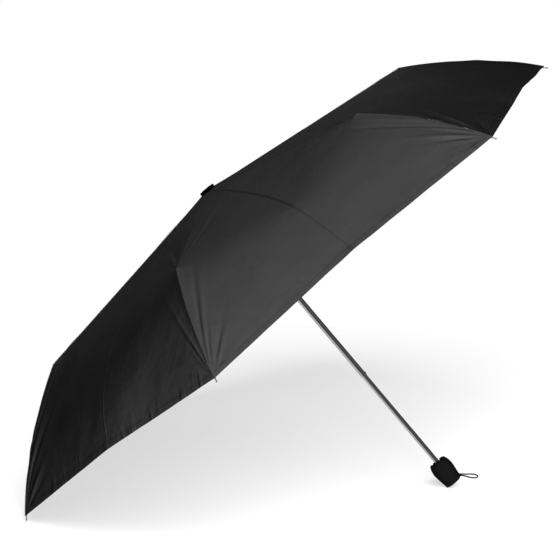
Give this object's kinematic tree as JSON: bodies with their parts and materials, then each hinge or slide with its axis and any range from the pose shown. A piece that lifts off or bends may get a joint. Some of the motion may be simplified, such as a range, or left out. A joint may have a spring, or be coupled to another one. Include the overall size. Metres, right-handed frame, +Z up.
{
  "type": "folding umbrella",
  "caption": "Compact folding umbrella, open, with a six-panel black canopy, three-section ribs, a telescopic steel shaft and a short barrel handle with a wrist loop.",
  "frame": {"origin": "on the shaft's axis at the middle of the handle, where a hand holds it", "axes": "+Z up the shaft from the handle to the crown; +X along rib 1, the other ribs following every 60 degrees about +Z"},
  "size_m": [0.9726, 0.862, 0.5467],
  "materials": {
    "rib_steel": "black lacquered steel channel",
    "spring_steel": "bare spring steel",
    "shaft_steel": "bright plated steel tube",
    "tip_metal": "plated tip",
    "canopy_cloth": "plain-woven polyester with a slight sheen",
    "loop_cord": "braided cord",
    "handle_plastic": "matte soft-touch black",
    "crown_plastic": "moulded black"
  },
  "bodies": {
    "handle": {"handle_shell": "handle_plastic", "wrist_loop": "loop_cord", "tube_bottom": "shaft_steel"},
    "lower_catch": {"lower_catch": "spring_steel"},
    "middle_shaft": {"tube_middle": "shaft_steel"},
    "upper_catch": {"upper_catch": "spring_steel"},
    "top_shaft": {"tube_top": "shaft_steel", "crown_notch": "crown_plastic", "crown_wire": "spring_steel", "crown_cap": "crown_plastic", "canopy_gore_1": "canopy_cloth", "canopy_gore_2": "canopy_cloth", "canopy_gore_3": "canopy_cloth", "canopy_gore_4": "canopy_cloth", "canopy_gore_5": "canopy_cloth", "canopy_gore_6": "canopy_cloth"},
    "runner_catch": {"runner_catch": "spring_steel"},
    "runner": {"runner": "crown_plastic", "runner_wire": "spring_steel"},
    "inner_rib_1": {"inner_rib_1": "rib_steel"},
    "middle_rib_1": {"middle_rib_1": "rib_steel", "control_wire_1": "spring_steel"},
    "outer_rib_1": {"outer_rib_1": "rib_steel", "rib_tip_1": "tip_metal"},
    "stretcher_1": {"stretcher_1": "rib_steel"},
    "inner_rib_2": {"inner_rib_2": "rib_steel"},
    "middle_rib_2": {"middle_rib_2": "rib_steel", "control_wire_2": "spring_steel"},
    "outer_rib_2": {"outer_rib_2": "rib_steel", "rib_tip_2": "tip_metal"},
    "stretcher_2": {"stretcher_2": "rib_steel"},
    "inner_rib_3": {"inner_rib_3": "rib_steel"},
    "middle_rib_3": {"middle_rib_3": "rib_steel", "control_wire_3": "spring_steel"},
    "outer_rib_3": {"outer_rib_3": "rib_steel", "rib_tip_3": "tip_metal"},
    "stretcher_3": {"stretcher_3": "rib_steel"},
    "inner_rib_4": {"inner_rib_4": "rib_steel"},
    "middle_rib_4": {"middle_rib_4": "rib_steel", "control_wire_4": "spring_steel"},
    "outer_rib_4": {"outer_rib_4": "rib_steel", "rib_tip_4": "tip_metal"},
    "stretcher_4": {"stretcher_4": "rib_steel"},
    "inner_rib_5": {"inner_rib_5": "rib_steel"},
    "middle_rib_5": {"middle_rib_5": "rib_steel", "control_wire_5": "spring_steel"},
    "outer_rib_5": {"outer_rib_5": "rib_steel", "rib_tip_5": "tip_metal"},
    "stretcher_5": {"stretcher_5": "rib_steel"},
    "inner_rib_6": {"inner_rib_6": "rib_steel"},
    "middle_rib_6": {"middle_rib_6": "rib_steel", "control_wire_6": "spring_steel"},
    "outer_rib_6": {"outer_rib_6": "rib_steel", "rib_tip_6": "tip_metal"},
    "stretcher_6": {"stretcher_6": "rib_steel"}
  },
  "joints": [
    {"name": "lower_slide", "type": "slide", "parent": "handle", "child": "middle_shaft", "axis": [0, 0, 1], "range_m": [-0.1525, 0], "deforming": ["lower_catch"]},
    {"name": "upper_slide", "type": "slide", "parent": "middle_shaft", "child": "top_shaft", "axis": [0, 0, 1], "range_m": [-0.129, 0], "deforming": ["upper_catch"]},
    {"name": "runner_slide", "type": "slide", "parent": "top_shaft", "child": "runner", "axis": [0, 0, 1], "range_m": [-0.0972, 0], "deforming": ["runner_catch", "canopy_gore_1", "canopy_gore_2", "canopy_gore_3", "canopy_gore_4", "canopy_gore_5", "canopy_gore_6"]},
    {"name": "lower_catch_press", "type": "hinge", "parent": "handle", "child": "lower_catch", "pos_m": [-0.0023, 0, 0.1662], "axis": [0, 1, 0], "range_deg": [-9.5, 0], "stiffness_Nm_per_rad": 0.05},
    {"name": "upper_catch_press", "type": "hinge", "parent": "middle_shaft", "child": "upper_catch", "pos_m": [-0.00295, 0, 0.3042], "axis": [0, 1, 0], "range_deg": [-9.5, 0], "stiffness_Nm_per_rad": 0.05},
    {"name": "runner_catch_press", "type": "hinge", "parent": "top_shaft", "child": "runner_catch", "pos_m": [-0.0035, 0, 0.4198], "axis": [0, -1, 0], "range_deg": [-9.5, 0], "stiffness_Nm_per_rad": 0.05},
    {"name": "inner_fold_1", "type": "hinge", "parent": "top_shaft", "child": "inner_rib_1", "pos_m": [0.008, 0, 0.5035], "axis": [0, 1, 0], "range_deg": [0, 79.7]},
    {"name": "middle_fold_1", "type": "hinge", "parent": "inner_rib_1", "child": "middle_rib_1", "pos_m": [0.15931, 0, 0.48447], "axis": [0, 1, 0], "range_deg": [-175.9, 0]},
    {"name": "outer_fold_1", "type": "hinge", "parent": "middle_rib_1", "child": "outer_rib_1", "pos_m": [0.31879, 0, 0.46087], "axis": [0, 1, 0], "range_deg": [0, 151.4]},
    {"name": "stretcher_fold_1", "type": "hinge", "parent": "runner", "child": "stretcher_1", "pos_m": [0.0086, 0, 0.4307], "axis": [0, 1, 0], "range_deg": [-50.2, 0]},
    {"name": "inner_fold_2", "type": "hinge", "parent": "top_shaft", "child": "inner_rib_2", "pos_m": [0.004, 0.00693, 0.5035], "axis": [-0.866, 0.5, 0], "range_deg": [0, 79.7]},
    {"name": "middle_fold_2", "type": "hinge", "parent": "inner_rib_2", "child": "middle_rib_2", "pos_m": [0.07966, 0.13797, 0.48447], "axis": [-0.866, 0.5, 0], "range_deg": [-175.9, 0]},
    {"name": "outer_fold_2", "type": "hinge", "parent": "middle_rib_2", "child": "outer_rib_2", "pos_m": [0.1594, 0.27608, 0.46087], "axis": [-0.866, 0.5, 0], "range_deg": [0, 151.4]},
    {"name": "stretcher_fold_2", "type": "hinge", "parent": "runner", "child": "stretcher_2", "pos_m": [0.0043, 0.00745, 0.4307], "axis": [-0.866, 0.5, 0], "range_deg": [-50.2, 0]},
    {"name": "inner_fold_3", "type": "hinge", "parent": "top_shaft", "child": "inner_rib_3", "pos_m": [-0.004, 0.00693, 0.5035], "axis": [-0.866, -0.5, 0], "range_deg": [0, 79.7]},
    {"name": "middle_fold_3", "type": "hinge", "parent": "inner_rib_3", "child": "middle_rib_3", "pos_m": [-0.07966, 0.13797, 0.48447], "axis": [-0.866, -0.5, 0], "range_deg": [-175.9, 0]},
    {"name": "outer_fold_3", "type": "hinge", "parent": "middle_rib_3", "child": "outer_rib_3", "pos_m": [-0.1594, 0.27608, 0.46087], "axis": [-0.866, -0.5, 0], "range_deg": [0, 151.4]},
    {"name": "stretcher_fold_3", "type": "hinge", "parent": "runner", "child": "stretcher_3", "pos_m": [-0.0043, 0.00745, 0.4307], "axis": [-0.866, -0.5, 0], "range_deg": [-50.2, 0]},
    {"name": "inner_fold_4", "type": "hinge", "parent": "top_shaft", "child": "inner_rib_4", "pos_m": [-0.008, 0, 0.5035], "axis": [0, -1, 0], "range_deg": [0, 79.7]},
    {"name": "middle_fold_4", "type": "hinge", "parent": "inner_rib_4", "child": "middle_rib_4", "pos_m": [-0.15931, 0, 0.48447], "axis": [0, -1, 0], "range_deg": [-175.9, 0]},
    {"name": "outer_fold_4", "type": "hinge", "parent": "middle_rib_4", "child": "outer_rib_4", "pos_m": [-0.31879, 0, 0.46087], "axis": [0, -1, 0], "range_deg": [0, 151.4]},
    {"name": "stretcher_fold_4", "type": "hinge", "parent": "runner", "child": "stretcher_4", "pos_m": [-0.0086, 0, 0.4307], "axis": [0, -1, 0], "range_deg": [-50.2, 0]},
    {"name": "inner_fold_5", "type": "hinge", "parent": "top_shaft", "child": "inner_rib_5", "pos_m": [-0.004, -0.00693, 0.5035], "axis": [0.866, -0.5, 0], "range_deg": [0, 79.7]},
    {"name": "middle_fold_5", "type": "hinge", "parent": "inner_rib_5", "child": "middle_rib_5", "pos_m": [-0.07966, -0.13797, 0.48447], "axis": [0.866, -0.5, 0], "range_deg": [-175.9, 0]},
    {"name": "outer_fold_5", "type": "hinge", "parent": "middle_rib_5", "child": "outer_rib_5", "pos_m": [-0.1594, -0.27608, 0.46087], "axis": [0.866, -0.5, 0], "range_deg": [0, 151.4]},
    {"name": "stretcher_fold_5", "type": "hinge", "parent": "runner", "child": "stretcher_5", "pos_m": [-0.0043, -0.00745, 0.4307], "axis": [0.866, -0.5, 0], "range_deg": [-50.2, 0]},
    {"name": "inner_fold_6", "type": "hinge", "parent": "top_shaft", "child": "inner_rib_6", "pos_m": [0.004, -0.00693, 0.5035], "axis": [0.866, 0.5, 0], "range_deg": [0, 79.7]},
    {"name": "middle_fold_6", "type": "hinge", "parent": "inner_rib_6", "child": "middle_rib_6", "pos_m": [0.07966, -0.13797, 0.48447], "axis": [0.866, 0.5, 0], "range_deg": [-175.9, 0]},
    {"name": "outer_fold_6", "type": "hinge", "parent": "middle_rib_6", "child": "outer_rib_6", "pos_m": [0.1594, -0.27608, 0.46087], "axis": [0.866, 0.5, 0], "range_deg": [0, 151.4]},
    {"name": "stretcher_fold_6", "type": "hinge", "parent": "runner", "child": "stretcher_6", "pos_m": [0.0043, -0.00745, 0.4307], "axis": [0.866, 0.5, 0], "range_deg": [-50.2, 0]}
  ],
  "couplings": [
    {"joint": "inner_fold_1", "follows": "runner_slide", "rad_per_m": -14.293},
    {"joint": "middle_fold_1", "follows": "runner_slide", "rad_per_m": 31.567},
    {"joint": "outer_fold_1", "follows": "runner_slide", "rad_per_m": -27.168},
    {"joint": "stretcher_fold_1", "follows": "runner_slide", "rad_per_m": 8.996},
    {"joint": "inner_fold_2", "follows": "runner_slide", "rad_per_m": -14.293},
    {"joint": "middle_fold_2", "follows": "runner_slide", "rad_per_m": 31.567},
    {"joint": "outer_fold_2", "follows": "runner_slide", "rad_per_m": -27.168},
    {"joint": "stretcher_fold_2", "follows": "runner_slide", "rad_per_m": 8.996},
    {"joint": "inner_fold_3", "follows": "runner_slide", "rad_per_m": -14.293},
    {"joint": "middle_fold_3", "follows": "runner_slide", "rad_per_m": 31.567},
    {"joint": "outer_fold_3", "follows": "runner_slide", "rad_per_m": -27.168},
    {"joint": "stretcher_fold_3", "follows": "runner_slide", "rad_per_m": 8.996},
    {"joint": "inner_fold_4", "follows": "runner_slide", "rad_per_m": -14.293},
    {"joint": "middle_fold_4", "follows": "runner_slide", "rad_per_m": 31.567},
    {"joint": "outer_fold_4", "follows": "runner_slide", "rad_per_m": -27.168},
    {"joint": "stretcher_fold_4", "follows": "runner_slide", "rad_per_m": 8.996},
    {"joint": "inner_fold_5", "follows": "runner_slide", "rad_per_m": -14.293},
    {"joint": "middle_fold_5", "follows": "runner_slide", "rad_per_m": 31.567},
    {"joint": "outer_fold_5", "follows": "runner_slide", "rad_per_m": -27.168},
    {"joint": "stretcher_fold_5", "follows": "runner_slide", "rad_per_m": 8.996},
    {"joint": "inner_fold_6", "follows": "runner_slide", "rad_per_m": -14.293},
    {"joint": "middle_fold_6", "follows": "runner_slide", "rad_per_m": 31.567},
    {"joint": "outer_fold_6", "follows": "runner_slide", "rad_per_m": -27.168},
    {"joint": "stretcher_fold_6", "follows": "runner_slide", "rad_per_m": 8.996}
  ]
}
